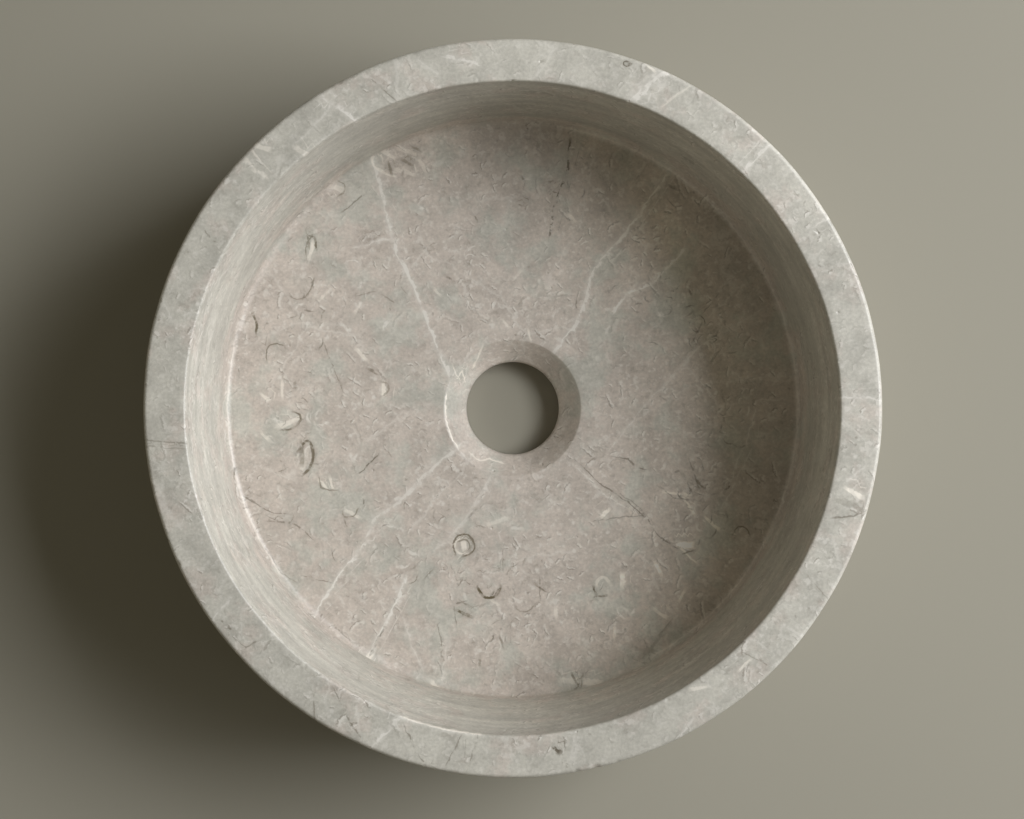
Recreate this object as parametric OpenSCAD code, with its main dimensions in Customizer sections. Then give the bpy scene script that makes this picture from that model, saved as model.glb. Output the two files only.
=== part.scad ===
// Round vessel washbasin, turned and carved from one block of limestone.
// Millimetres, +Z up, origin at the centre of the base.

/* [Basin] */
// Outside diameter
basin_d = 350; // [280:5:450]
// Height from the base to the top of the rim
basin_h = 120; // [90:5:180]
// Wall thickness at the top of the rim
wall_t = 20; // [14:1:32]
// Slope of the inner wall from vertical, in degrees
wall_draft = 5; // [0:0.5:10]
// Thickness of the floor at the edge of the drain seat
floor_t = 24; // [18:1:40]
// Fall of the floor towards the drain, in degrees
floor_fall = 1.5; // [0:0.25:4]

/* [Drain] */
// Thread diameter of the waste that the drain hole takes (G 1 1/4)
waste_thread_d = 42; // [38:1:50]
// Gap all round that thread
thread_gap = 3; // [1:0.5:5]
// Diameter of the waste's flange
waste_flange_d = 64; // [62:1:80]
// Gap all round that flange at the mouth of its seat
flange_gap = 3; // [1:0.5:5]
// Slope of the drain seat from horizontal, in degrees
seat_slope = 45; // [20:5:50]

/* [Edges] */
// Radius of the outer edge of the rim
rim_outer_r = 2; // [0.5:0.5:5]
// Radius of the inner edge of the rim
rim_inner_r = 1.2; // [0.2:0.2:4]
// Radius of the cove where the wall meets the floor
cove_r = 4; // [1:0.5:12]
// Radius of the edge between the floor and the drain seat
seat_edge_r = 1; // [0.2:0.2:3]
// Radius of the outer edge of the base
base_edge_r = 3; // [0.5:0.5:8]
// Radius of the lower edge of the drain hole
hole_edge_r = 1; // [0.2:0.2:2]

/* [Hidden] */

arc_steps = 8;
outer_r = basin_d / 2;
rim_r = outer_r - wall_t;
drain_r = waste_thread_d / 2 + thread_gap;
seat_r = waste_flange_d / 2 + flange_gap;
seat_bottom = floor_t - (seat_r - drain_r) * tan(seat_slope);

// The wall and the floor are straight lines in section; this is where they cross.
toe_r = (rim_r - (basin_h - floor_t + seat_r * tan(floor_fall)) * tan(wall_draft))
        / (1 - tan(floor_fall) * tan(wall_draft));
toe_z = floor_t + (toe_r - seat_r) * tan(floor_fall);

// Section corners as [radius, height, edge radius], anticlockwise from the lower edge of the hole.
SECTION = [
    [drain_r, 0, hole_edge_r],
    [outer_r, 0, base_edge_r],
    [outer_r, basin_h, rim_outer_r],
    [rim_r, basin_h, rim_inner_r],
    [toe_r, toe_z, cove_r],
    [seat_r, floor_t, seat_edge_r],
    [drain_r, seat_bottom, 0],
];

function flat(p) = [p[0], p[1]];
function unit(v) = v / norm(v);

// Points of an arc of radius r that rounds the corner at b between a and c.
function rounded(a, b, c, r) =
    let (
        u = unit(a - b),
        v = unit(c - b),
        half = acos(u * v) / 2,
        centre = b + unit(u + v) * r / sin(half),
        first = b + u * r / tan(half) - centre,
        turn = sign(u[0] * v[1] - u[1] * v[0]) * (2 * half - 180)
    )
    [for (i = [0 : arc_steps])
        let (t = turn * i / arc_steps)
        centre + [first[0] * cos(t) - first[1] * sin(t), first[0] * sin(t) + first[1] * cos(t)]];

function outline(corners) =
    let (n = len(corners))
    [for (i = [0 : n - 1])
        let (before = corners[(i + n - 1) % n], at = corners[i], after = corners[(i + 1) % n])
        each at[2] > 0 ? rounded(flat(before), flat(at), flat(after), at[2]) : [flat(at)]];

module basin_body()
{
    color([0.71, 0.68, 0.62])
        rotate_extrude($fn = 180)
            polygon(outline(SECTION));
}

basin_body();
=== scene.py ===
"""Looks of the vessel washbasin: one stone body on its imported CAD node, its material, and the studio."""

import math
from collections import namedtuple

import bpy
import numpy as np
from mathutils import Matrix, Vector
from mathutils.kdtree import KDTree


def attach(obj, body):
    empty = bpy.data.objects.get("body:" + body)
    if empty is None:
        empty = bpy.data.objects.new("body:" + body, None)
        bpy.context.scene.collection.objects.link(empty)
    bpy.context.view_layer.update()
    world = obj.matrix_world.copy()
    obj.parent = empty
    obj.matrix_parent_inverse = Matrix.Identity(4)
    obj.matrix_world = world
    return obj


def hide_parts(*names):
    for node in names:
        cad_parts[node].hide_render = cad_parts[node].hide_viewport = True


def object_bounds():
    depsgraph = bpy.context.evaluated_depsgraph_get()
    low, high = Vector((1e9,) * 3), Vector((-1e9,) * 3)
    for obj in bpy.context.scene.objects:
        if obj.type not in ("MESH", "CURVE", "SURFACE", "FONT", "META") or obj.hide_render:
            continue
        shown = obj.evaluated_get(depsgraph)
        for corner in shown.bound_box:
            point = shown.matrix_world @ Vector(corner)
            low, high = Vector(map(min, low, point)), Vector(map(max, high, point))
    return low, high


NODE = "basin_body"
MM = 0.001

# Mesh of the stone, in mm: segments round the axis and the longest steps along its section
SEGMENTS = 384
FACE_STEP = 2.4
WALL_STEP = 4.0
SIDE_STEP = 6.0
BASE_STEP = 12.0
SHORTEST_STEP = 0.35
BASE_BAND = 4.0
EDGE_BAND = 3.0
COVE = 4.0
SIGHT_INSET = 15.0
SIGHT_HEIGHT = 14.0
SAME = 0.01
LEVEL_SLOPE = 0.1

# Refinement round small features, in mm: how far it reaches round each, and its longest step there
REFINE_PASSES = 3
MARK_REACH, MARK_STEP = 2.6, 0.9
SLIVER_REACH, SLIVER_STEP = 2.0, 1.5
CHIP_REACH, CHIP_STEP = 4.0, 0.9
PIT_REACH, PIT_STEP = 1.6, 0.45
SPOT_STRIDE = 3
GRID_ROW = 10 ** 4  # cells to a row of the grid that finds what may be near

# Wear and pores, in mm
SEED = 41
PIT_COUNT = 70
PIT_RADIUS = (0.5, 1.0)
PIT_DEPTH = (0.25, 0.55)
WAVE = 0.08
WAVES = [(7, 1.0, 0.6), (17, 0.7, 2.1), (31, 0.5, 4.0)]

# Seeded slivers of shell: ranges of their arcs, and how far they keep from the seat and the wall
SLIVER_SIZE = (2.5, 7.0)
SLIVER_ROUNDNESS = (0.5, 1.0)
SLIVER_SPAN = (25, 70)
SLIVER_WIDTH = (0.35, 0.8)
SLIVER_STRENGTH = (0.25, 0.7)
DARK_SWELL, DARK_SEED = 0.0, 42
PALE_SWELL, PALE_SEED = 0.8, 43
SEAT_MARGIN = 4.0
TOE_MARGIN = 3.0

# How far from a mark's middle line its distance is kept, in mm
FULL_REACH = 3.0
END_REACH = 5.0
END_FADE = 2.5
LARGE_ARC = 50.0
ARC_STEP = 20.0
LARGE_ARC_STEP = 2.0
FEWEST_ARC_STEPS = 4

# How veins lean on the outer side: radians per mm of depth, and how that swings round the axis
VEIN_LEAN = 0.0025
LEAN_SWINGS, LEAN_START = 2, 1.0

# Marks in the stone. Points are in mm from the axis, seen from above, with +Y at the back.
Mark = namedtuple("Mark", "points width strength depth")


def line(*points, width=0.8, strength=0.7, depth=0.0):
    """A mark along straight stretches between points."""
    return Mark(np.array(points, float), width, strength, depth)


def arc(centre, size, start, end, tilt=0.0, width=0.8, strength=0.7, depth=0.0):
    """A mark along an ellipse of that width and height, from start to end degrees, turned by tilt degrees."""
    step = ARC_STEP if max(size) < LARGE_ARC else LARGE_ARC_STEP
    steps = max(FEWEST_ARC_STEPS, round(abs(end - start) / step))
    angle = np.radians(np.linspace(start, end, steps + 1))
    x = size[0] / 2 * np.cos(angle)
    y = size[1] / 2 * np.sin(angle)
    turn = math.radians(tilt)
    points = np.column_stack([
        centre[0] + x * math.cos(turn) - y * math.sin(turn),
        centre[1] + x * math.sin(turn) + y * math.cos(turn),
    ])
    return Mark(points, width, strength, depth)


# Pale calcite veins that cross the floor
FLOOR_VEINS = [
    line((-71, 125), (-65, 102), (-60, 81), (-50, 61), (-42, 40), (-33, 18), width=1.5, strength=0.8),
    line((78, 118), (66, 101), (58, 90), (48, 79), (40, 68), (37, 54), (31, 41), (22, 30),
         width=1.4, strength=0.75),
    line((-28, -20), (-45, -34), (-58, -48), (-71, -57), (-76, -70), width=1.8, strength=0.65),
    line((-76, -70), (-87, -83), (-97, -98), (-103, -111), width=1.2, strength=0.95),
    line((-55, -87), (-59, -98), (-66, -112), (-75, -129), width=1.3, strength=0.95),
    line((-12, -37), (-24, -57), (-37, -72), width=2.0, strength=0.4),
    line((127, 50), (96, 32), (70, 4), (50, -21), strength=0.35),
    line((124, -2), (119, -19), (114, -28), (112, -36), width=0.6, strength=0.5),
    line((52, 50), (59, 59), (70, 63), (80, 73), (87, 80), width=1.3, strength=0.9),
]
FLOOR_CROSS_VEINS = [
    line((-80, 82), (-68, 86), (-60, 86), strength=0.6),
    line((122, -22), (114, -38), (107, -51), width=0.6, strength=0.45),
    line((32, -29), (43, -41), (56, -50), width=0.7, strength=0.5),
    line((-34, -124), (-36, -138), width=1.0, strength=0.4),
    line((-55, -110), (-51, -122), (-46, -134), (-50, -140), strength=0.45),
    line((-140, 30), (-110, 44), (-84, 42), strength=0.2),
    line((20, 70), (34, 92), (40, 120), strength=0.25),
    line((60, -8), (92, 12), (132, 16), width=0.7, strength=0.2),
]

# Fine dark cracks in the floor. The widest of the cross cracks is the faint shade round the coral.
FLOOR_CRACKS = [
    line((33, -27), (45, -39), (59, -48), (69, -57), (76, -67), (83, -71), width=0.5, strength=0.65),
    line((29, 136), (28, 122), (24, 111), (21, 103), (19, 89), width=0.9, strength=0.85),
    line((91, 59), (92, 57), width=1.4),
    line((98, 50), (104, 57), width=0.7, strength=0.5),
    line((78, 108), (82, 104), width=0.9, strength=0.5),
    line((84, 112), (80, 114), strength=0.5),
    line((-136, -46), (-124, -53), (-116, -54), width=0.5, strength=0.6),
    line((-123, -58), (-112, -59), (-103, -66), width=0.5, strength=0.6),
    line((-106, -86), (-94, -89), width=0.4, strength=0.5),
    line((-91, -112), (-83, -119), width=0.4, strength=0.5),
    line((53, -25), (59, -26), (62, -30), (67, -31), width=0.6, strength=0.65),
    line((91, -28), (93, -34), (95, -40), width=0.9, strength=0.5),
    line((76, -41), (83, -46), (90, -47), width=0.5, strength=0.5),
    arc((120, -81), (4, 3), 0, 220, width=0.7, strength=0.6),
    line((-20, -53), (-22, -55), strength=0.5),
    line((-15, -61), (-18, -60), width=1.2, strength=0.45),
    line((-16, -36), (-19, -36), width=0.6, strength=0.5),
    line((-42, -84), (-44, -86), width=0.7, strength=0.5),
    line((-20, -120), (-21, -121), width=1.0, strength=0.5),
    line((-96, 31), (-92, 22), (-87, 9), width=0.4, strength=0.5),
    line((-78, -33), (-70, -25), width=0.6, strength=0.8),
    line((-65, -20), (-63, -23), strength=0.6),
    line((-71, -121), (-73, -126), strength=0.6),
    line((-67, -115), (-68, -117), width=1.0),
    line((-38, -112), (-36, -121), (-37, -130), width=0.6, strength=0.5),
    line((-86, 101), (-75, 110), width=0.5, strength=0.6),
    line((-35, -126), (-36, -134), width=0.5, strength=0.6),
    line((-5, -74), (-5, -80), width=0.4, strength=0.5),
    line((-23, -82), (-24, -87), width=0.5, strength=0.6),
    line((-31, -82), (-29, -87), width=0.4, strength=0.5),
    line((14, -88), (14, -96), width=0.6, strength=0.6),
    line((41, -98), (45, -92), width=0.6),
    line((96, 42), (92, 34), strength=0.4),
    line((102, 24), (106, 30), width=0.7, strength=0.4),
    line((33, -142), (37, -136), width=1.2),
    line((-142, -31), (-142, -38), width=0.9),
    line((-60, 54), (-70, 60), (-78, 58), width=0.4, strength=0.4),
    line((-126, -72), (-118, -84), (-112, -88), width=0.4, strength=0.45),
    line((62, -128), (72, -132), strength=0.35),
]
FLOOR_CROSS_CRACKS = [
    line((40, -58), (53, -56), (67, -55), width=0.4, strength=0.5),
    line((55, -44), (64, -50), (72, -59), width=0.4, strength=0.4),
    line((-24, -100), (-30, -99), (-29, -109), width=0.5, strength=0.6),
    line((-62, 124), (-48, 129), width=9.0, strength=0.16),
]

# Shells and other fossils in the floor: pale bodies, and their dark outlines
FLOOR_SHELLS = [
    line((-107, -29), (-106, -24), width=3.4, strength=0.3),
    line((-118, -9), (-110, -5), width=3.4, strength=0.5),
    line((-104, 78), (-102, 83), width=2.4, strength=0.6),
    arc((-25, -70), (9, 9), 100, 280, width=1.2, strength=0.55),
    line((-25, -71), (-25, -70), width=3.2, strength=0.6),
    line((-88, 112), (-95, 114), width=3.0, strength=0.4),
    arc((-59, 127), (26, 16), 100, 260, width=1.2, strength=0.45),
    line((-66, 131), (-62, 129), width=2.6, strength=0.45),
    line((-56, 132), (-50, 130), width=2.4, strength=0.4),
    line((-59, 122), (-52, 120), width=2.6, strength=0.4),
    line((-47, 126), (-45, 122), width=2.2, strength=0.35),
    line((86, -70), (89, -70), width=3.6, strength=0.95),
    line((87, -73), (93, -78), strength=0.5),
    line((74, -81), (75, -83), width=2.2),
    line((56, -87), (56, -89), width=2.6),
    arc((46, -89), (6, 5), 20, 190, width=1.6, strength=0.4),
    line((87, -95), (86, -97), width=1.6, strength=0.5),
    line((74, -104), (77, -106), width=2.0, strength=0.45),
    line((22, -104), (22, -105), width=2.0, strength=0.45),
    line((52, -114), (52, -115), width=1.4, strength=0.5),
    line((-11, -59), (-5, -57), width=2.4, strength=0.35),
    line((-21, -24), (-17, -27), (-12, -26), (-6, -28), strength=0.5),
    line((-30, 20), (-28, 16), (-26, 20), (-25, 15), width=0.7, strength=0.5),
    line((-20, 22), (-16, 30), strength=0.5),
    line((8, 39), (9, 36), strength=0.5),
    line((-40, -141), (-39, -142), width=2.4, strength=0.5),
    line((79, -43), (89, -44), width=1.6, strength=0.55),
    line((88, -47), (92, -53), width=1.4, strength=0.6),
    line((100, -57), (104, -61), width=1.8, strength=0.6),
    line((47, -54), (48, -53), width=2.2, strength=0.75),
    line((-66, 11), (-66, 8), width=2.4, strength=0.75),
    line((-79, 29), (-76, 26), width=1.8, strength=0.5),
    line((-98, -38), (-96, -40), width=1.8, strength=0.6),
    line((-93, -37), (-92, -40), width=1.6, strength=0.55),
    line((-118, 13), (-118, 7), width=1.4, strength=0.5),
    line((-127, 6), (-126, 5), width=1.8, strength=0.5),
    line((-127, -14), (-126, -15), width=1.8, strength=0.5),
    line((-4, 44), (-3, 43), width=1.6, strength=0.4),
    line((2, 68), (3, 69), width=1.6, strength=0.4),
    line((-39, 60), (-38, 59), width=1.8, strength=0.4),
    line((-80, 50), (-79, 52), width=1.6, strength=0.4),
    line((-97, 57), (-96, 58), width=1.6, strength=0.4),
    line((30, 98), (31, 97), width=1.8, strength=0.4),
    line((-84, -53), (-80, -55), width=1.8, strength=0.5),
    line((-76, -131), (-74, -128), width=3.4, strength=0.8),
    line((27, -139), (43, -140), width=4.0, strength=0.4),
    line((-8, -100), (-12, -97), width=1.6, strength=0.35),
]
FLOOR_SHELL_EDGES = [
    arc((-106, -25), (8, 16), -70, 150, tilt=-8, width=1.5, strength=0.85, depth=0.25),
    line((-108, -19), (-108, -27), width=2.4, strength=0.5, depth=0.2),
    arc((-114, -7), (12, 7), -150, 30, tilt=28, width=1.3, strength=0.75, depth=0.15),
    arc((-103, 82), (5, 12), 10, 100, tilt=-8, width=0.9, strength=0.85, depth=0.1),
    arc((-103, 82), (5, 12), 120, 230, tilt=-8, width=0.7, strength=0.6),
    line((-105, 88), (-104, 83), width=0.6, strength=0.6),
    line((-102, 65), (-103, 61), (-106, 57), width=0.6, strength=0.6),
    arc((-110, 60), (12, 8), 230, 310, width=0.5, strength=0.5),
    line((-132, 46), (-131, 44), (-131, 40), width=1.2, strength=0.9, depth=0.15),
    arc((-121, 27), (10, 12), 60, 190, width=0.6),
    arc((-25, -70), (11, 11), -80, 215, width=0.9, strength=0.8, depth=0.1),
    arc((-25, -70), (6, 6), -70, 130, width=0.6, strength=0.65),
    arc((-12, -93), (10, 8), 185, 355, width=1.7, strength=1.0, depth=0.2),
    line((-27, -104), (-23, -106), width=1.6, strength=0.95),
    arc((-59, 127), (30, 20), 110, 170, width=0.6, strength=0.45),
    line((-63, 124), (-62, 121), width=1.5, strength=0.55),
    line((-55, 126), (-53, 125), width=1.4, strength=0.5),
    line((-50, 133), (-48, 132), width=1.2, strength=0.45),
    line((-67, 134), (-65, 134), width=1.2, strength=0.45),
    arc((-66, 10), (5, 6), -80, 80, width=1.0, strength=0.5),
    line((-99, -36), (-98, -41), (-91, -42), width=0.6, strength=0.6),
    arc((-83, -53), (8, 5), 150, 330, tilt=30, width=0.6, strength=0.6),
    arc((-90, 112), (9, 7), -60, 60, width=0.6, strength=0.5),
    arc((117, -64), (8, 7), 5, 170, width=0.6, strength=0.6),
    line((95, -38), (97, -40), width=1.3, strength=0.6),
    line((-72, 19), (-70, 18), width=1.2, strength=0.6),
    line((-6, -118), (-5, -121), width=1.2, strength=0.5),
    line((-17, -127), (-17, -130), width=1.2, strength=0.5),
    arc((6, -101), (9, 6), 200, 340, width=0.7, strength=0.5),
    line((80, -110), (75, -116), width=1.0, strength=0.4),
    line((75, -117), (71, -121), (67, -126), width=3.0, strength=0.35),
    line((64, -123), (70, -124), width=2.6, strength=0.35),
    line((42, -93), (43, -96), (46, -96), width=1.2, strength=0.95),
    line((13, -91), (16, -93), width=1.2),
    line((33, -141), (31, -137), width=1.0),
    line((35, -141), (36, -136), strength=0.6),
    line((92, -73), (88, -74), width=0.9, strength=0.6),
]

# Beds of broken shell in the floor: centre and spread in mm, and how many slivers lie there
SHELL_BEDS = [
    ((-10, -84), 24, 18),
    ((-4, -122), 22, 20),
    ((62, -118), 24, 22),
    ((96, -46), 22, 18),
    ((96, 42), 20, 16),
    ((-59, 126), 12, 18),
    ((-112, -2), 22, 14),
    ((-90, 110), 16, 10),
    ((20, 110), 30, 14),
    ((-60, -60), 36, 12),
    ((70, 60), 34, 12),
    ((-20, 70), 34, 8),
    ((-100, 50), 24, 10),
    ((110, -10), 24, 8),
]

# Broad changes of brightness: centre and spread in mm, and how much paler. Part is the stone's own clouding.
# Part is painted light and painted shade for light that the lamps leave out, most of all painted light on the
# right of the floor.
CLOUDING_AND_PAINTED_LIGHT = [
    ((70, 62, 25), 36, 0.32),
    ((74, -74, 25), 38, 0.24),
    ((84, -5, 25), 34, 0.24),
    ((34, 104, 25), 26, 0.16),
    ((110, 40, 25), 26, 0.22),
    ((48, -112, 25), 24, 0.12),
    ((106, -74, 25), 28, 0.18),
    ((80, 94, 25), 24, 0.2),
    ((122, 5, 25), 28, 0.12),
    ((-38, 140, 25), 16, 0.25),
    ((42, 138, 25), 16, 0.2),
    ((10, -150, 65), 55, 0.18),
    ((-150, 10, 75), 60, 0.05),
    ((-60, 138, 75), 40, 0.08),
    ((-24, 14, 18), 16, 0.12),
    ((-12, -28, 18), 10, 0.1),
    ((78, 92, 25), 22, 0.14),
    ((28, 68, 25), 22, 0.14),
    ((60, -42, 25), 22, 0.1),
    ((54, -122, 25), 20, 0.14),
    ((76, -106, 25), 16, 0.14),
    ((72, 122, 25), 14, 0.2),
    ((130, 75, 75), 60, -0.12),
    ((-40, -144, 75), 40, 0.08),
    ((72, -130, 75), 36, 0.08),
    ((-12, 24, 16), 12, 0.1),
    ((20, -20, 16), 12, -0.12),
    ((55, -160, 120), 55, -0.14),
    ((128, 106, 120), 44, 0.13),
    ((5, 165, 120), 22, 0.08),
    ((-95, 130, 120), 40, -0.06),
]

# Veins, shells and cracks in the top of the rim, and a painted shadow beside a shell. The veins run on down
# the outer side.
RIM_VEINS = [
    line((74, 160), (66, 154), (57, 146), width=3.2, strength=0.8),
    line((110, 113), (116, 119), (124, 126), width=1.2, strength=0.65),
    line((142, 86), (151, 91), (156, 93), width=0.9, strength=0.5),
    line((154, 5), (166, 5), (178, 4), width=1.0, strength=0.6),
    line((84, -148), (79, -156), (76, -162), width=1.0, strength=0.6),
    line((-71, -164), (-60, -154), (-54, -147), (-46, -145), width=1.0, strength=0.75),
    line((-134, -90), (-142, -100), width=0.9, strength=0.5),
    line((-92, 148), (-82, 142), (-73, 135), width=1.4, strength=0.9),
    line((-56, 168), (-54, 158), (-55, 147), width=2.6, strength=0.3),
    line((-31, 166), (-17, 163), width=1.2),
    line((-102, 126), (-86, 141), width=0.9, strength=0.45),
    line((30, -157), (29, -165), width=4.0, strength=0.35),
    line((-36, 158), (-44, 164), width=1.0, strength=0.3),
    line((166, -28), (159, -34), width=1.0, strength=0.4),
    line((130, -104), (137, -108), width=1.0, strength=0.4),
    line((-160, 40), (-166, 52), strength=0.35),
    line((12, 158), (20, 170), width=1.0, strength=0.3),
]
RIM_SHELLS = [
    line((71, 143), (82, 151), width=1.0, strength=0.3),
    line((65, 161), (66, 160), width=1.0, strength=0.6),
    line((160, -39), (163, -41), width=2.6, strength=0.9),
    line((-120, 124), (-117, 123), width=3.0, strength=0.45),
    line((-125, 116), (-123, 114), width=2.4, strength=0.4),
    line((-121, 112), (-118, 110), width=2.4, strength=0.4),
    line((-101, 122), (-98, 120), width=2.6, strength=0.45),
    line((86, -133), (90, -132), width=1.6, strength=0.5),
    line((108, -123), (111, -120), width=1.4, strength=0.5),
]
RIM_CRACKS_AND_SHADE = [
    # The first one is a painted shadow beside the shell at the right of the rim; the rest are cracks.
    line((164, -48), (160, -45), (154, -44), width=3.6, strength=0.25),
    line((-176, -15), (-164, -16), (-153, -17), width=0.5, strength=0.5),
    line((-172, -18), (-162, -19), (-156, -19), width=0.4, strength=0.35),
    line((-94, -137), (-94, -147), width=0.5, strength=0.5),
    line((-84, -134), (-78, -147), (-72, -156), width=0.5, strength=0.55),
    line((-51, -151), (-45, -163), (-40, -171), width=0.5, strength=0.55),
    line((-25, -156), (-31, -168), width=0.5, strength=0.5),
    line((-17, -156), (-21, -170), width=0.5, strength=0.45),
    line((-137, -101), (-133, -105), width=0.7, strength=0.6),
    line((-130, -110), (-126, -113), (-122, -111), width=0.5, strength=0.5),
    line((-66, 155), (-56, 146), width=0.5, strength=0.5),
    line((-146, 85), (-143, 80), (-139, 78), width=0.7, strength=0.5),
    line((20, -161), (21, -162), width=1.8, strength=0.95, depth=0.2),
    line((25, -169), (26, -170), width=1.0, strength=0.6),
    line((153, -52), (162, -51), (166, -49), width=0.6, strength=0.6),
    arc((54, 163), (3, 2), 40, 320, strength=0.9),
    line((110, -116), (120, -121), width=0.5, strength=0.4),
    line((140, -80), (149, -90), width=0.5, strength=0.35),
]

# Painted pale lines on rounded edges: of the seat, of the foot of the wall, and inside the rim. They
# stand for light that catches there. The last one may be a vein.
PAINTED_EDGE_HIGHLIGHTS = [
    arc((0, 0), (69, 69), 170, 214, width=0.5, strength=0.9),
    arc((0, 0), (291, 291), 168, 215, strength=0.3),
    arc((0, 0), (291, 291), -60, 80, strength=0.2),
    arc((0, 0), (310, 310), 251, 264, strength=0.6),
]

# Small chips along the rim's edges: angle in degrees, radius and depth in mm
OUTER_CHIPS = [(-80, 2.4, 0.5), (-77, 3.2, 0.7), (-73.5, 2.2, 0.4), (-38, 1.8, 0.35), (12, 2.0, 0.3),
               (64, 1.6, 0.35), (118, 2.2, 0.4), (163, 1.8, 0.3), (205, 2.6, 0.45), (247, 1.6, 0.3)]
INNER_CHIPS = [(-62, 1.5, 0.3), (8, 1.6, 0.3), (96, 1.4, 0.25), (171, 1.5, 0.25), (231, 1.6, 0.3)]

# Studio, in metres, degrees and watts. A lamp has an azimuth from +X towards +Y, an elevation and a size.
DAYLIGHT = (0.98, 1.0, 1.04)
ROOM_WARMTH = (1.0, 0.93, 0.72)
LAMP_DISTANCE = 2.5
LAMP_TARGET_HEIGHT = 0.1
LAMPS = [
    ("key_low", 15, 37, (1.5, 0.55), 37.0, DAYLIGHT),
    ("key_high", 15, 50, (1.5, 0.8), 33.0, DAYLIGHT),
    ("key_strip", 8, 16, (3.5, 0.6), 34.0, DAYLIGHT),
    ("return_strip", 195, 15, (3.5, 0.5), 4.0, ROOM_WARMTH),
]
FILL_STRENGTH = 0.14
STUDIO_FLOOR_SIZE = 12.0
STUDIO_FLOOR_COLOUR = (0.285, 0.268, 0.216)
CAMERA_RISE = 1.161
LENS = 86.3
SENSOR = 36.0
LENS_SHIFT = (-0.0007, -0.0013)

# Colours of the stone, linear, and the height in mm over which the walls turn greener
BEDDING_RISE = 20.0
BEIGE = (0.488, 0.432, 0.376)
GREY_GREEN = (0.453, 0.434, 0.378)
PALE = (0.700, 0.668, 0.608)
CREAM = (0.860, 0.800, 0.700)
DARK = (0.130, 0.110, 0.078)
OLIVE = (0.115, 0.092, 0.052)
BRIGHTEST = (0.900, 0.860, 0.800)

# Finish of the stone and the floor. Sizes, bend and jitter are in mm.
PATCH_SIZE, CLOUD_SIZE, GRAIN_SIZE = 30.0, 13.0, 1.5
BEND, JITTER = 9.0, 1.8
MIDDLE = (0.5, 0.5, 0.5)
STREAK_STRETCH, STREAK_SIZE = (0.07, 0.07, 1.0), 7.0
STREAK_BRIGHTNESS = (0.91, 1.09)
ROUGHNESS = (0.36, 0.46)
DARK_ROUGHNESS = 0.25
SPECULAR = 0.45
GRAIN_LIFT, DARK_SINK, BUMP_STRENGTH = 0.05, 0.08, 0.6
FLOOR_ROUGHNESS, FLOOR_SPECULAR = 0.7, 0.3


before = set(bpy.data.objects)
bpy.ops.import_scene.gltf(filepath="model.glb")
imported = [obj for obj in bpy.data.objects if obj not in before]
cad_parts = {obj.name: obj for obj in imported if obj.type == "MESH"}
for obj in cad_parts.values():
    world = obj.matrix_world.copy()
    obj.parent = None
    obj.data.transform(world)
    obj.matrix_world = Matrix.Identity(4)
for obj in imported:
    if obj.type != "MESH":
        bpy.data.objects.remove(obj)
cad_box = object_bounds()


def node_section(node):
    """Outline of the turned node as [radius, height] in mm, in order round the stone."""
    corners = np.array([v.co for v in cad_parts[node].data.vertices]) / MM
    radius = np.hypot(corners[:, 0], corners[:, 1])
    points = np.unique(np.round(np.column_stack([radius, corners[:, 2]]), 2), axis=0)
    # The whole outline is in sight of a point in the foot of the wall, so angles put it in order.
    seen_from = np.array([points[:, 0].max() - SIGHT_INSET, SIGHT_HEIGHT])
    offset = points - seen_from
    points = points[np.argsort(np.arctan2(offset[:, 1], offset[:, 0]))]
    kept = [points[0]]
    for point in points[1:]:
        if np.linalg.norm(point - kept[-1]) > SHORTEST_STEP:
            kept.append(point)
    return np.array(kept)


# The stone's shape, in mm: its outline, its upper face from the hole to the rim, and the level floor in that
SECTION = node_section(NODE)
OUTER_R = SECTION[:, 0].max()
HEIGHT = SECTION[:, 1].max()
TOP = SECTION[(SECTION[:, 1] > BASE_BAND) & (SECTION[:, 0] < OUTER_R - SAME)]
TOP = TOP[np.argsort(TOP[:, 0])]
RIM_R = SECTION[(SECTION[:, 1] > HEIGHT - SAME), 0].min()
TOP_SLOPE = np.diff(TOP[:, 1]) / np.diff(TOP[:, 0])
FLOOR = TOP[:-1][(np.abs(TOP_SLOPE) < LEVEL_SLOPE) & (TOP[:-1, 1] < HEIGHT / 2)]
SEAT_R = FLOOR[0, 0]
TOE_R = FLOOR[-1, 0]
TOE_TOP = FLOOR[-1, 1] + COVE


def shell_slivers(swell, seed):
    """Seeded short curved slivers in the shell beds, widened by the share that swell says."""
    draw = np.random.default_rng(seed)
    slivers = []
    for centre, spread, count in SHELL_BEDS:
        for _ in range(count):
            place = np.array(centre) + draw.normal(0, spread / 2, 2)
            if not SEAT_R + SEAT_MARGIN < np.hypot(*place) < TOE_R - TOE_MARGIN:
                continue
            length = draw.uniform(*SLIVER_SIZE)
            start = draw.uniform(0, 360)
            width = draw.uniform(*SLIVER_WIDTH) * (1 + swell)
            size = (length, length * draw.uniform(*SLIVER_ROUNDNESS))
            end = start + draw.uniform(*SLIVER_SPAN)
            tilt = draw.uniform(0, 180)
            strength = draw.uniform(*SLIVER_STRENGTH)
            slivers.append(arc(place, size, start, end, tilt, width, strength))
    return slivers


def longest_step(radius, height):
    """Longest step of the mesh at a place of the section."""
    if height < BASE_BAND:
        return BASE_STEP
    if radius > OUTER_R - EDGE_BAND:
        return SIDE_STEP
    if TOE_TOP < height < HEIGHT - EDGE_BAND:
        return WALL_STEP
    return FACE_STEP


def fine_section(section):
    """The section with points added so that no step is too long."""
    points = []
    for start, end in zip(section, np.roll(section, -1, axis=0)):
        middle = (start + end) / 2
        steps = math.ceil(np.linalg.norm(end - start) / longest_step(*middle))
        for k in range(steps):
            points.append(start + (end - start) * k / steps)
    return np.array(points)


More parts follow.
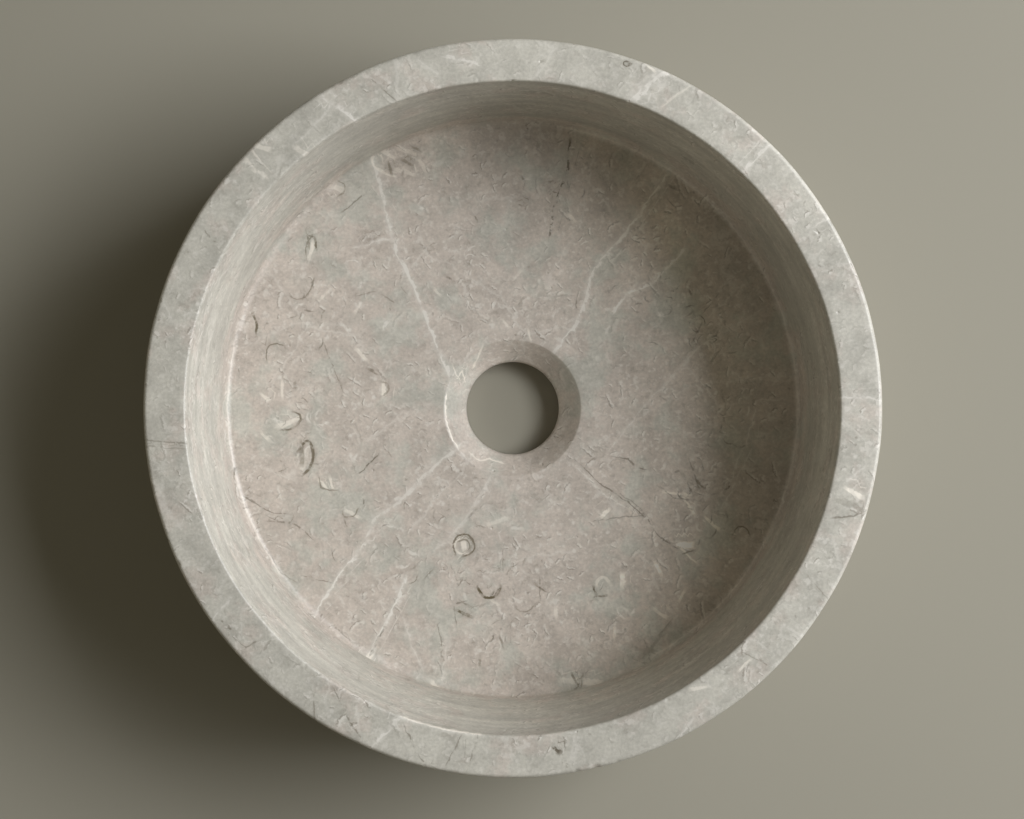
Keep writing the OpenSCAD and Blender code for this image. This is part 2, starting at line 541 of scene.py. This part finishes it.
def turned_shape(section):
    """Corners in mm and triangles of the section turned round the axis: closed, and facing outwards."""
    angle = np.linspace(0, 2 * math.pi, SEGMENTS, endpoint=False)
    rings = len(section)
    radius = section[:, :1]
    x = radius * np.cos(angle)
    y = radius * np.sin(angle)
    z = np.repeat(section[:, 1:], SEGMENTS, axis=1)
    corners = np.stack([x, y, z], axis=2).reshape(-1, 3)
    ring, step = np.meshgrid(np.arange(rings), np.arange(SEGMENTS), indexing="ij")
    next_ring = (ring + 1) % rings
    next_step = (step + 1) % SEGMENTS
    a = (ring * SEGMENTS + step).ravel()
    b = (ring * SEGMENTS + next_step).ravel()
    c = (next_ring * SEGMENTS + next_step).ravel()
    d = (next_ring * SEGMENTS + step).ravel()
    triangles = np.concatenate([np.column_stack([a, b, c]), np.column_stack([a, c, d])])
    return corners, triangles


def within_reach(points, spots, reach):
    """Which points lie within reach of a spot."""
    tree = KDTree(len(spots))
    for k, spot in enumerate(spots):
        tree.insert(spot, k)
    tree.balance()
    cells = np.floor(np.array(spots) / reach).astype(np.int64)
    around = np.stack(np.meshgrid([-1, 0, 1], [-1, 0, 1], [-1, 0, 1]), axis=-1).reshape(-1, 3)
    taken = (cells[:, None] + around).reshape(-1, 3)
    spread = np.array([1, GRID_ROW, GRID_ROW ** 2])
    near = np.isin(np.floor(points / reach).astype(np.int64) @ spread, taken @ spread)
    for k in np.nonzero(near)[0]:
        near[k] = tree.find(points[k])[2] < reach
    return near


def refine_near(corners, triangles, spots, reach, step):
    """Splits edges longer than step whose middle is within reach of a spot. The surface stays closed."""
    for _ in range(REFINE_PASSES):
        sides = np.sort(triangles[:, [0, 1, 1, 2, 2, 0]].reshape(-1, 2), axis=1)
        edges, edge_of_side = np.unique(sides, axis=0, return_inverse=True)
        edge_of_side = edge_of_side.reshape(-1, 3)
        start = corners[edges[:, 0]]
        end = corners[edges[:, 1]]
        middle = (start + end) / 2
        is_split = np.linalg.norm(end - start, axis=1) > step
        is_split[is_split] = within_reach(middle[is_split], spots, reach)
        new_corner = np.where(is_split, len(corners) + np.cumsum(is_split) - 1, -1)
        corners = np.concatenate([corners, middle[is_split]])
        triangles = split_triangles(triangles, new_corner[edge_of_side])
    return corners, triangles


def split_triangles(triangles, middles):
    """Cuts each triangle at the middles of its split sides; a side that isn't split has -1."""
    pieces = [triangles[(middles < 0).all(axis=1)]]
    for turn in range(3):
        a, b, c = np.roll(triangles, -turn, axis=1).T
        ab, bc, ca = np.roll(middles, -turn, axis=1).T
        one = (ab >= 0) & (bc < 0) & (ca < 0)
        two = (ab >= 0) & (bc >= 0) & (ca < 0)
        pieces += [np.column_stack(t)[one] for t in [(a, ab, c), (ab, b, c)]]
        pieces += [np.column_stack(t)[two] for t in [(ab, b, bc), (a, ab, bc), (a, bc, c)]]
    a, b, c = triangles.T
    ab, bc, ca = middles.T
    three = (middles >= 0).all(axis=1)
    pieces += [np.column_stack(t)[three] for t in [(a, ab, ca), (ab, b, bc), (ca, bc, c), (ab, bc, ca)]]
    return np.concatenate(pieces)


def facing(corners, triangles):
    """Direction that the surface faces at each corner."""
    first, second, third = corners[triangles.T]
    normal = np.cross(second - first, third - first)
    total = np.zeros_like(corners)
    for k in range(3):
        np.add.at(total, triangles[:, k], normal)
    return total / np.linalg.norm(total, axis=1)[:, None]


def top_height(radius):
    """Height of the stone's upper face at a radius, in mm."""
    return np.interp(radius, TOP[:, 0], TOP[:, 1])


def on_top(points):
    """Points on the stone's upper face above flat points."""
    flat = np.asarray(points, float)
    return np.column_stack([flat, top_height(np.hypot(flat[:, 0], flat[:, 1]))])


def distance_to_mark(flat, mark):
    """Signed distance of flat points from a mark's line, and how far each lies past the line's ends."""
    best = np.full(len(flat), np.inf)
    signed = np.zeros(len(flat))
    past = np.zeros(len(flat))
    last = len(mark.points) - 2
    for k, (start, end) in enumerate(zip(mark.points[:-1], mark.points[1:])):
        along = (end - start) / np.linalg.norm(end - start)
        length = np.linalg.norm(end - start)
        offset = flat - start
        run = offset @ along
        side = offset[:, 0] * along[1] - offset[:, 1] * along[0]
        over = np.maximum(np.maximum(-run, run - length), 0)
        distance = np.hypot(side, over)
        closer = distance < best
        best = np.where(closer, distance, best)
        signed = np.where(closer, np.where(side < 0, -1, 1) * np.hypot(side, over * (0 < k < last)), signed)
        at_end = ((k == 0) & (run < 0)) | ((k == last) & (run > length))
        past = np.where(closer, np.where(at_end, over, 0), past)
    return signed, past


def lean_outside(places):
    """Flat places, turned round the axis the more the lower they lie outside, so that veins lean there."""
    around = places[:, 0] + 1j * places[:, 1]
    is_outside = (np.abs(around) > OUTER_R - EDGE_BAND) | (places[:, 2] < BASE_BAND)
    swing = np.sin(LEAN_SWINGS * np.angle(around) + LEAN_START)
    lean = VEIN_LEAN * (HEIGHT - places[:, 2]) * swing
    leaning = around * np.exp(1j * np.where(is_outside, lean, 0))
    return np.column_stack([leaning.real, leaning.imag])


def paint_marks(mesh, places, name, marks, runs_down):
    """Keeps [signed distance, half width, strength] of the nearest mark at every corner. Marks that run
    down pass through the block, but not up the inner wall. The others stay in the upper face."""
    flat = places[:, :2]
    radius = np.hypot(flat[:, 0], flat[:, 1])
    height = places[:, 2]
    if runs_down:
        usable = (height < TOE_TOP) | (height > HEIGHT - END_REACH) | (radius > OUTER_R - EDGE_BAND)
        flat = lean_outside(places)
    else:
        is_wall = (height > TOE_TOP) & (height < HEIGHT - EDGE_BAND)
        usable = (np.abs(height - top_height(radius)) < END_REACH) & ~is_wall
    values = np.zeros((len(places), 3), np.float32)
    values[:, 0] = END_REACH
    for mark in marks:
        low_corner = mark.points.min(axis=0) - END_REACH - mark.width
        high_corner = mark.points.max(axis=0) + END_REACH + mark.width
        chosen = np.nonzero(usable & np.all((flat > low_corner) & (flat < high_corner), axis=1))[0]
        signed, past = distance_to_mark(flat[chosen], mark)
        reach = np.abs(signed) - mark.width / 2
        fade = np.clip((END_REACH - reach) / (END_REACH - FULL_REACH), 0, 1)
        end_fade = np.clip(1 - (past - mark.width / 2) / END_FADE, 0, 1)
        strength = mark.strength * fade * end_fade
        better = np.abs(signed) < np.abs(values[chosen, 0])
        taken = chosen[better]
        values[taken, 0] = signed[better]
        values[taken, 1] = mark.width / 2
        values[taken, 2] = strength[better]
    attribute = mesh.attributes.new(name, "FLOAT_VECTOR", "POINT")
    attribute.data.foreach_set("vector", values.ravel())


def paint_clouding_and_light(mesh, places):
    """Keeps how much paler or darker the colour is at every corner: partly the stone's own clouding, partly
    painted light and painted shade.
    """
    clouding_and_light = np.ones(len(places), np.float32)
    for centre, spread, gain in CLOUDING_AND_PAINTED_LIGHT:
        share = np.linalg.norm(places - np.array(centre), axis=1) / spread
        clouding_and_light *= 1 + gain * np.exp(-share ** 2)
    attribute = mesh.attributes.new("clouding_and_light", "FLOAT", "POINT")
    attribute.data.foreach_set("value", clouding_and_light)


def scoop(places, normals, centre, radius, depth):
    """Presses a round hollow into the surface."""
    share = np.linalg.norm(places - centre, axis=1) / radius
    inside = share < 1
    push = depth * (1 - share[inside] ** 2) ** 2
    places[inside] -= normals[inside] * push[:, None]


def chip_centres(chips, radius):
    """Middle of each chip on an edge of the rim."""
    return [
        np.array([radius * math.cos(math.radians(angle)), radius * math.sin(math.radians(angle)), HEIGHT])
        for angle, _, _ in chips
    ]


def pit_list(section):
    """Seeded pores all over the stone above its base, as (centre, radius, depth) in mm."""
    draw = np.random.default_rng(SEED)
    upper = section[section[:, 1] > BASE_BAND]
    pits = []
    while len(pits) < PIT_COUNT:
        radius, height = upper[draw.integers(len(upper))]
        if draw.random() < radius / OUTER_R:
            turn = draw.uniform(0, 2 * math.pi)
            centre = np.array([radius * math.cos(turn), radius * math.sin(turn), height])
            pits.append((centre, draw.uniform(*PIT_RADIUS), draw.uniform(*PIT_DEPTH)))
    return pits


def press_marks(places, normals, marks):
    """Sinks the marks that have a depth."""
    flat = places[:, :2]
    near_top = np.abs(places[:, 2] - top_height(np.hypot(flat[:, 0], flat[:, 1]))) < END_REACH
    for mark in marks:
        if mark.depth == 0:
            continue
        low_corner = mark.points.min(axis=0) - mark.width
        high_corner = mark.points.max(axis=0) + mark.width
        chosen = np.nonzero(near_top & np.all((flat > low_corner) & (flat < high_corner), axis=1))[0]
        signed, past = distance_to_mark(flat[chosen], mark)
        share = np.clip(np.hypot(signed, past) / mark.width, 0, 1)
        push = mark.depth * (1 - share ** 2) ** 2
        places[chosen] -= normals[chosen] * push[:, None]


def hand_finish(places):
    """Slow, slight waves that a hand-finished turned edge has."""
    turn = np.arctan2(places[:, 1], places[:, 0])
    wave = sum(share * np.sin(count * turn + start) for count, share, start in WAVES)
    rise = np.clip((places[:, 2] - TOE_TOP) / (HEIGHT - TOE_TOP), 0, 1)
    outward = np.column_stack([np.cos(turn), np.sin(turn)])
    places[:, :2] += outward * (WAVE * wave * rise)[:, None]


def stone_body():
    """The closed stone mesh: the CAD node's own section, turned, with chips, pores and sunken fossils."""
    section = fine_section(SECTION)
    corners, triangles = turned_shape(section)
    outer_centres = chip_centres(OUTER_CHIPS, OUTER_R)
    inner_centres = chip_centres(INNER_CHIPS, RIM_R)
    pits = pit_list(section)
    dark_slivers = shell_slivers(DARK_SWELL, DARK_SEED)
    pale_slivers = shell_slivers(PALE_SWELL, PALE_SEED)
    slivers = dark_slivers + pale_slivers
    # Fine mesh round fossils and cracks, a painted shadow beside a rim shell, and the painted edge highlights
    fossils_and_painted_light = FLOOR_SHELLS + FLOOR_SHELL_EDGES + RIM_SHELLS + RIM_CRACKS_AND_SHADE + PAINTED_EDGE_HIGHLIGHTS
    fossil_and_painted_light_spots = np.concatenate([on_top(mark.points) for mark in fossils_and_painted_light])
    sliver_spots = np.concatenate([on_top(mark.points[::SPOT_STRIDE]) for mark in slivers])
    pit_spots = [centre for centre, _, _ in pits]
    corners, triangles = refine_near(corners, triangles, fossil_and_painted_light_spots, MARK_REACH, MARK_STEP)
    corners, triangles = refine_near(corners, triangles, sliver_spots, SLIVER_REACH, SLIVER_STEP)
    corners, triangles = refine_near(corners, triangles, outer_centres + inner_centres, CHIP_REACH, CHIP_STEP)
    corners, triangles = refine_near(corners, triangles, pit_spots, PIT_REACH, PIT_STEP)
    places = corners.copy()
    normals = facing(corners, triangles)
    for centre, (_, radius, depth) in zip(outer_centres + inner_centres, OUTER_CHIPS + INNER_CHIPS):
        scoop(places, normals, centre, radius, depth)
    for centre, radius, depth in pits:
        scoop(places, normals, centre, radius, depth)
    press_marks(places, normals, FLOOR_SHELL_EDGES + RIM_CRACKS_AND_SHADE)
    hand_finish(places)
    mesh = bpy.data.meshes.new("basin_stone")
    mesh.from_pydata((places * MM).tolist(), [], triangles.tolist())
    paint_marks(mesh, corners, "vein_a", FLOOR_VEINS + RIM_VEINS, runs_down=True)
    paint_marks(mesh, corners, "vein_b", FLOOR_CROSS_VEINS, runs_down=True)
    # Cracks, with a painted shadow beside a shell on the rim
    paint_marks(mesh, corners, "crack_and_shade_a", FLOOR_CRACKS + RIM_CRACKS_AND_SHADE, runs_down=False)
    paint_marks(mesh, corners, "crack_b", FLOOR_CROSS_CRACKS, runs_down=False)
    # Shells, together with the painted highlights on rounded edges
    paint_marks(mesh, corners, "shell_and_edge_highlight", FLOOR_SHELLS + RIM_SHELLS + PAINTED_EDGE_HIGHLIGHTS, runs_down=False)
    paint_marks(mesh, corners, "shell_edge", FLOOR_SHELL_EDGES, runs_down=False)
    paint_marks(mesh, corners, "sliver_dark", dark_slivers, runs_down=False)
    paint_marks(mesh, corners, "sliver_pale", pale_slivers, runs_down=False)
    # Painted light and painted shade by place, mixed with the stone's own clouding
    paint_clouding_and_light(mesh, corners)
    mesh.shade_smooth()
    body = bpy.data.objects.new("basin_stone", mesh)
    bpy.context.scene.collection.objects.link(body)
    return body


Noise = namedtuple("Noise", "value colour")
Layer = namedtuple("Layer", "dark pale")


class Graph:
    """Adds and joins a material's nodes. Any input may be a number, a colour or another node's output."""

    def __init__(self, material):
        material.use_nodes = True
        self.tree = material.node_tree
        self.shader = self.tree.nodes["Principled BSDF"]

    def fill(self, socket, value):
        if isinstance(value, bpy.types.NodeSocket):
            self.tree.links.new(value, socket)
        elif hasattr(value, "__len__") and len(value) == 3 and socket.type == "RGBA":
            socket.default_value = (*value, 1)
        else:
            socket.default_value = value

    def add(self, kind, settings, inputs):
        node = self.tree.nodes.new(kind)
        for name, value in settings.items():
            setattr(node, name, value)
        for name, value in inputs.items():
            self.fill(node.inputs[name], value)
        return node

    def math(self, operation, first, second=0.0, third=0.0):
        node = self.add("ShaderNodeMath", {"operation": operation}, {0: first, 1: second, 2: third})
        return node.outputs[0]

    def vector(self, operation, first, second=(0, 0, 0)):
        node = self.add("ShaderNodeVectorMath", {"operation": operation}, {0: first, 1: second})
        return node.outputs["Value"] if operation in ("LENGTH", "DOT_PRODUCT") else node.outputs["Vector"]

    def scaled(self, vector, factor):
        node = self.add("ShaderNodeVectorMath", {"operation": "SCALE"}, {0: vector, "Scale": factor})
        return node.outputs["Vector"]

    def parts(self, vector):
        node = self.add("ShaderNodeSeparateXYZ", {}, {0: vector})
        return node.outputs[0], node.outputs[1], node.outputs[2]

    def ramp(self, value, low, high, start=0.0, end=1.0):
        """Smooth step from start to end as value goes from low to high."""
        inputs = {"Value": value, "From Min": low, "From Max": high, "To Min": start, "To Max": end}
        return self.add("ShaderNodeMapRange", {"interpolation_type": "SMOOTHSTEP"}, inputs).outputs[0]

    def mix(self, factor, first, second):
        node = self.add("ShaderNodeMix", {"data_type": "RGBA"}, {0: factor, 6: first, 7: second})
        return node.outputs[2]

    def tint(self, colour, brightness):
        """Colour times a brightness."""
        return self.scaled(colour, brightness)

    def noise(self, place, size, detail, roughness):
        """Noise whose features are about size mm wide."""
        inputs = {"Vector": place, "Scale": 1 / size, "Detail": detail, "Roughness": roughness}
        node = self.add("ShaderNodeTexNoise", {}, inputs)
        return Noise(node.outputs[0], node.outputs[1])

    def cells(self, place, size, feature="F1"):
        """Voronoi cells about size mm wide."""
        return self.add("ShaderNodeTexVoronoi", {"feature": feature}, {"Vector": place, "Scale": 1 / size})


def mark_mask(graph, name, wander, width_noise, breaks, haze):
    """How much of a painted mark shows: its line wanders, swells and breaks, inside a faint haze."""
    attribute = graph.add("ShaderNodeAttribute", {"attribute_name": name}, {})
    distance, half_width, strength = graph.parts(attribute.outputs["Vector"])
    gap = graph.math("ABSOLUTE", graph.math("ADD", distance, wander))
    width = graph.math("MULTIPLY", half_width, width_noise)
    core = graph.ramp(gap, graph.math("MULTIPLY", width, 0.5), graph.math("ADD", width, 0.25), 1.0, 0.0)
    shown = graph.math("MULTIPLY", core, breaks)
    if haze > 0:
        spread = graph.ramp(gap, 0.0, graph.math("MULTIPLY_ADD", width, 3.0, 1.0), haze, 0.0)
        shown = graph.math("MAXIMUM", shown, spread)
    return graph.math("MULTIPLY", shown, strength)


def flecks(graph, place, size, share, low, high):
    """Small round grains in a share of the cells of that size."""
    cells = graph.cells(place, size)
    pick = graph.parts(cells.outputs["Color"])[0]
    chosen = graph.math("LESS_THAN", pick, share)
    return graph.math("MULTIPLY", graph.ramp(cells.outputs["Distance"], low, high, 1.0, 0.0), chosen)


def line_pair(graph, gap, thickness, dark_edge, pale_edge):
    """A dark line where the gap is zero, and a pale one beside it."""
    dark = graph.ramp(graph.math("ABSOLUTE", gap), thickness * dark_edge, thickness, 1.0, 0.0)
    beside = graph.math("ABSOLUTE", graph.math("ADD", gap, thickness * 1.9))
    return Layer(dark, graph.ramp(beside, thickness * 0.4, thickness * pale_edge, 1.0, 0.0))


def shell_plates(graph, place, size, share, thickness):
    """Broken shell: small bent plates that the surface cuts."""
    cells = graph.cells(place, size)
    pick, curl, _ = graph.parts(cells.outputs["Color"])
    offset = graph.scaled(graph.vector("SUBTRACT", place, cells.outputs["Position"]), 1 / size)
    facing_way = graph.vector("NORMALIZE", graph.vector("SUBTRACT", cells.outputs["Color"], MIDDLE))
    away = graph.vector("LENGTH", offset)
    bend = graph.math("MULTIPLY", graph.math("MULTIPLY", away, away), graph.math("MULTIPLY", curl, 0.8))
    gap = graph.math("ADD", graph.vector("DOT_PRODUCT", offset, facing_way), bend)
    inner = graph.ramp(away, 0.26, 0.44, 1.0, 0.0)
    shown = graph.math("MULTIPLY", inner, graph.math("LESS_THAN", pick, share))
    lines = line_pair(graph, gap, thickness, dark_edge=0.3, pale_edge=1.6)
    return Layer(graph.math("MULTIPLY", lines.dark, shown), graph.math("MULTIPLY", lines.pale, shown))


def scribbles(graph, place, size, width, low, high):
    """Short wandering hairlines."""
    noise = graph.noise(place, size, detail=1.5, roughness=0.5)
    shown = graph.ramp(graph.parts(noise.colour)[1], low, high)
    gap = graph.math("SUBTRACT", noise.value, 0.5)
    lines = line_pair(graph, gap, width * 0.9 / size, dark_edge=0.3, pale_edge=1.3)
    return Layer(graph.math("MULTIPLY", lines.dark, shown), graph.math("MULTIPLY", lines.pale, shown))


def threads(graph, place, size, width, patch, low, high):
    """Thin pale threads along the walls of large cells, shown only in patches."""
    cells = graph.cells(place, size, "DISTANCE_TO_EDGE")
    thin = graph.ramp(cells.outputs["Distance"], 0.0, width / size, 1.0, 0.0)
    return graph.math("MULTIPLY", thin, graph.ramp(patch.value, low, high))


def turning_marks(graph, place, height):
    """Level streaks that turning left on the walls, from 0 to 1; 0.5 everywhere else."""
    stretched = graph.vector("MULTIPLY", place, STREAK_STRETCH)
    streak = graph.noise(stretched, STREAK_SIZE, detail=1.5, roughness=0.5)
    is_wall = graph.math("MULTIPLY", graph.ramp(height, TOE_TOP, TOE_TOP + COVE),
                         graph.ramp(height, HEIGHT - EDGE_BAND, HEIGHT - 1, 1.0, 0.0))
    return graph.math("MULTIPLY_ADD", graph.math("SUBTRACT", streak.value, 0.5), is_wall, 0.5)


def strongest(graph, layers):
    """The strongest of several (mask, weight) layers."""
    result = 0.0
    for mask, weight in layers:
        result = graph.math("MAXIMUM", result, graph.math("MULTIPLY", mask, weight))
    return result


def stone_ground(graph, height, patch, cloud, grain):
    """Plain stone under its inclusions: grey-green patches in grey-beige, with more of them up the walls."""
    bedding = graph.ramp(height, TOE_TOP, TOE_TOP + BEDDING_RISE, 0.0, 0.7)
    tint = graph.ramp(graph.parts(cloud.colour)[2], 0.35, 0.65, -0.35, 0.35)
    warmth = graph.math("ADD", graph.math("SUBTRACT", graph.ramp(patch.value, 0.32, 0.56), bedding), tint)
    colour = graph.mix(graph.ramp(warmth, 0.0, 1.0), GREY_GREEN, BEIGE)
    brightness = graph.ramp(cloud.value, 0.25, 0.75, 0.87, 1.13)
    grain_brightness = graph.ramp(grain.value, 0.2, 0.8, 0.90, 1.10)
    return graph.tint(colour, graph.math("MULTIPLY", brightness, grain_brightness))


def small_inclusions(graph, warped, bent, patch):
    """Masks of what is too small to be listed one by one: grains, broken shell, hairlines and threads."""
    mottle = graph.noise(warped, size=3.6, detail=2.0, roughness=0.6).value
    small = shell_plates(graph, warped, size=5.5, share=0.45, thickness=0.060)
    large = shell_plates(graph, warped, size=12.0, share=0.30, thickness=0.032)
    fine = scribbles(graph, warped, size=6.0, width=0.30, low=0.57, high=0.66)
    wide = scribbles(graph, bent, size=16.0, width=0.40, low=0.55, high=0.63)
    pale = strongest(graph, [
        (graph.ramp(mottle, 0.56, 0.68), 0.42),
        (flecks(graph, warped, size=6.0, share=0.34, low=0.08, high=0.26), 0.60),
        (flecks(graph, warped, size=3.0, share=0.36, low=0.08, high=0.32), 0.38),
        (small.pale, 0.60), (large.pale, 0.56), (fine.pale, 0.26), (wide.pale, 0.34),
    ])
    dark = strongest(graph, [
        (graph.ramp(mottle, 0.42, 0.30), 0.22),
        (flecks(graph, warped, size=7.0, share=0.24, low=0.04, high=0.15), 0.50),
        (small.dark, 0.44), (large.dark, 0.44), (fine.dark, 0.20), (wide.dark, 0.24),
    ])
    crowd = graph.ramp(graph.parts(patch.colour)[0], 0.40, 0.60, 0.45, 1.0)
    thread = threads(graph, bent, size=60.0, width=1.0, patch=patch, low=0.46, high=0.60)
    pale = graph.math("MAXIMUM", graph.math("MULTIPLY", pale, crowd), graph.math("MULTIPLY", thread, 0.35))
    return Layer(graph.math("MULTIPLY", dark, crowd), pale)


def placed_marks(graph, place, colour):
    """Lays the painted marks over the colour: veins, shells and painted edge highlights, cracks and a painted
    shadow, and the outlines of shells last.
    """
    drift = graph.noise(place, size=5.0, detail=3.0, roughness=0.6)
    swell_noise, break_noise, _ = graph.parts(drift.colour)
    wander = graph.math("SUBTRACT", drift.value, 0.5)
    far = graph.math("MULTIPLY", wander, 4.5)
    near = graph.math("MULTIPLY", wander, 2.5)
    swell = graph.ramp(swell_noise, 0.35, 0.65, 0.35, 1.7)
    steady = graph.ramp(swell_noise, 0.35, 0.65, 0.8, 1.3)
    gaps = graph.ramp(break_noise, 0.40, 0.52, 0.10, 1.0)
    thin_spots = graph.ramp(break_noise, 0.36, 0.52, 0.40, 1.0)
    firm = graph.ramp(break_noise, 0.36, 0.50, 0.70, 1.0)
    layers = [
        ("vein_b", far, swell, thin_spots, 0.35, PALE),
        ("vein_a", far, swell, thin_spots, 0.35, PALE),
        ("sliver_pale", near, swell, gaps, 0.0, PALE),
        # Cream for shells, and for the painted highlights on rounded edges
        ("shell_and_edge_highlight", near, steady, firm, 0.15, CREAM),
        ("sliver_dark", near, swell, gaps, 0.10, DARK),
        ("crack_b", near, swell, gaps, 0.10, DARK),
        # Dark for cracks, and for a painted shadow beside a shell on the rim
        ("crack_and_shade_a", near, swell, gaps, 0.10, DARK),
        ("shell_edge", near, steady, thin_spots, 0.15, OLIVE),
    ]
    for name, sway, width, shown, haze, paint in layers:
        colour = graph.mix(mark_mask(graph, name, sway, width, shown, haze), colour, paint)
    return colour


def limestone():
    """Honed grey fossil limestone, worked out in mm in the stone's own frame."""
    material = bpy.data.materials.new("fossil_limestone")
    graph = Graph(material)
    coordinates = graph.add("ShaderNodeTexCoord", {}, {})
    place = graph.scaled(coordinates.outputs["Object"], 1 / MM)
    height = graph.parts(place)[2]
    patch = graph.noise(place, PATCH_SIZE, detail=4.0, roughness=0.6)
    cloud = graph.noise(place, CLOUD_SIZE, detail=5.0, roughness=0.62)
    grain = graph.noise(place, GRAIN_SIZE, detail=2.0, roughness=0.6)
    bend = graph.scaled(graph.vector("SUBTRACT", cloud.colour, MIDDLE), BEND)
    jitter = graph.scaled(graph.vector("SUBTRACT", grain.colour, MIDDLE), JITTER)
    warped = graph.vector("ADD", place, jitter)
    bent = graph.vector("ADD", warped, bend)

    inclusions = small_inclusions(graph, warped, bent, patch)
    colour = stone_ground(graph, height, patch, cloud, grain)
    colour = graph.mix(inclusions.pale, colour, PALE)
    colour = graph.mix(inclusions.dark, colour, DARK)
    colour = placed_marks(graph, place, colour)
    # Painted light and painted shade: the colour is made paler or darker by place, partly the stone's own
    # clouding
    clouding_and_light = graph.add("ShaderNodeAttribute", {"attribute_name": "clouding_and_light"}, {}).outputs["Fac"]
    turned = graph.ramp(turning_marks(graph, place, height), 0.3, 0.7, *STREAK_BRIGHTNESS)
    colour = graph.tint(colour, graph.math("MULTIPLY", clouding_and_light, turned))
    graph.fill(graph.shader.inputs["Base Color"], graph.vector("MINIMUM", colour, BRIGHTEST))

    rough = graph.ramp(cloud.value, 0.3, 0.7, *ROUGHNESS)
    rough = graph.math("MULTIPLY_ADD", inclusions.dark, DARK_ROUGHNESS, rough)
    graph.fill(graph.shader.inputs["Roughness"], rough)
    graph.shader.inputs["Specular IOR Level"].default_value = SPECULAR
    lift = graph.math("SUBTRACT", graph.math("MULTIPLY", grain.value, GRAIN_LIFT),
                      graph.math("MULTIPLY", inclusions.dark, DARK_SINK))
    bump = graph.add("ShaderNodeBump", {}, {"Strength": BUMP_STRENGTH, "Distance": MM, "Height": lift})
    graph.fill(graph.shader.inputs["Normal"], bump.outputs[0])
    return material


def studio_floor(centre):
    """Large plain floor at the foot of the basin."""
    bpy.ops.mesh.primitive_plane_add(size=STUDIO_FLOOR_SIZE, location=(centre.x, centre.y, cad_box[0].z))
    floor = bpy.context.object
    floor.name = "studio_floor"
    material = bpy.data.materials.new("plain_floor")
    graph = Graph(material)
    graph.shader.inputs["Base Color"].default_value = (*STUDIO_FLOOR_COLOUR, 1)
    graph.shader.inputs["Roughness"].default_value = FLOOR_ROUGHNESS
    graph.shader.inputs["Specular IOR Level"].default_value = FLOOR_SPECULAR
    floor.data.materials.append(material)


def soft_light(name, azimuth, elevation, size, power, colour, target):
    """Rectangular lamp that faces the target."""
    lamp = bpy.data.lights.new(name, "AREA")
    lamp.shape = "RECTANGLE"
    lamp.size, lamp.size_y = size
    lamp.energy = power
    lamp.color = colour
    holder = bpy.data.objects.new(name, lamp)
    bpy.context.scene.collection.objects.link(holder)
    turn = math.radians(azimuth)
    rise = math.radians(elevation)
    away = Vector((math.cos(turn) * math.cos(rise), math.sin(turn) * math.cos(rise), math.sin(rise)))
    holder.location = target + away * LAMP_DISTANCE
    holder.rotation_euler = (-away).to_track_quat("-Z", "Y").to_euler()


def studio_light(target):
    """One broad soft key from the right at three heights, a weak return from the left, and an even fill."""
    for lamp in LAMPS:
        soft_light(*lamp, target)
    world = bpy.data.worlds.new("studio")
    world.use_nodes = True
    world.node_tree.nodes["Background"].inputs["Color"].default_value = (*ROOM_WARMTH, 1)
    world.node_tree.nodes["Background"].inputs["Strength"].default_value = FILL_STRENGTH
    bpy.context.scene.world = world


def overhead_camera(centre, rim_height):
    """Camera straight above the basin, looking down."""
    camera = bpy.data.cameras.new("camera")
    camera.sensor_width = SENSOR
    camera.lens = LENS
    camera.shift_x, camera.shift_y = LENS_SHIFT
    holder = bpy.data.objects.new("camera", camera)
    holder.location = (centre.x, centre.y, rim_height + CAMERA_RISE)
    bpy.context.scene.collection.objects.link(holder)
    bpy.context.scene.camera = holder


middle = (cad_box[0] + cad_box[1]) / 2
basin = stone_body()
basin.data.materials.append(limestone())
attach(basin, "root")
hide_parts(NODE)

studio_floor(middle)
studio_light(Vector((middle.x, middle.y, LAMP_TARGET_HEIGHT)))
overhead_camera(middle, cad_box[1].z)
bpy.context.scene.view_settings.view_transform = "Standard"
